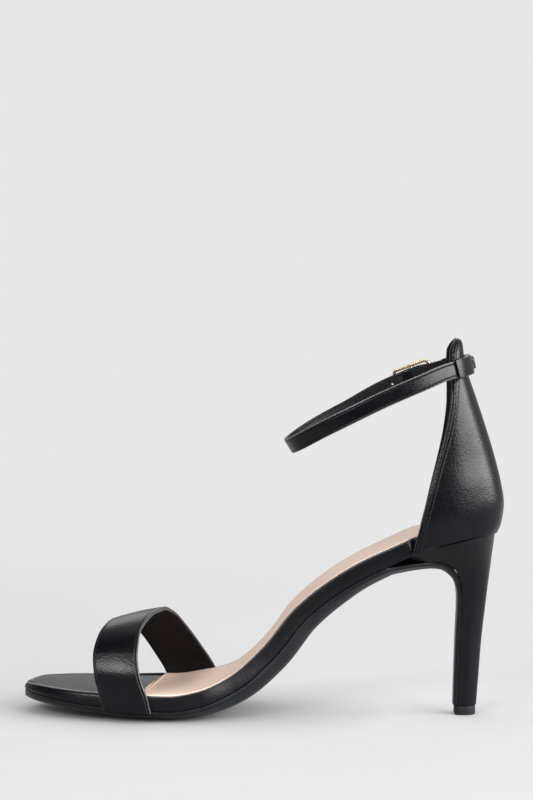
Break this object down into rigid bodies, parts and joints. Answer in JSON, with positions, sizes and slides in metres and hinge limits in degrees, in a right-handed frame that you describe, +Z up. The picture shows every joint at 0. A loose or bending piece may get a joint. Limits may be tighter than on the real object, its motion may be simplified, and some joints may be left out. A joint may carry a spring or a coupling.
{
  "type": "heeled sandal",
  "caption": "Slim high-heeled sandal with a wide toe strap, closed heel counter and a narrow buckled ankle strap.",
  "frame": {"origin": "middle of the box's base, on the floor plane that the tread and the heel's top piece stand on", "axes": "+X from the toe to the heel, -Y to the inner side of the right foot, +Z up"},
  "size_m": [0.2274, 0.0818, 0.18],
  "materials": {
    "outsole": "satin",
    "footbed": "satin",
    "sock": "matte",
    "heel": "satin",
    "top_piece": "matte",
    "toe_strap": "satin",
    "counter": "satin",
    "ankle_strap": "satin",
    "back_loop": "satin",
    "strap_keeper": "satin",
    "buckle_frame": "polished",
    "buckle_prong": "polished"
  },
  "bodies": {
    "root": {"outsole": "outsole", "footbed": "footbed", "sock": "sock", "heel": "heel", "top_piece": "top_piece", "toe_strap": "toe_strap", "counter": "counter", "ankle_strap": "ankle_strap", "back_loop": "back_loop", "strap_keeper": "strap_keeper", "buckle_frame": "buckle_frame", "buckle_prong": "buckle_prong"}
  },
  "joints": []
}
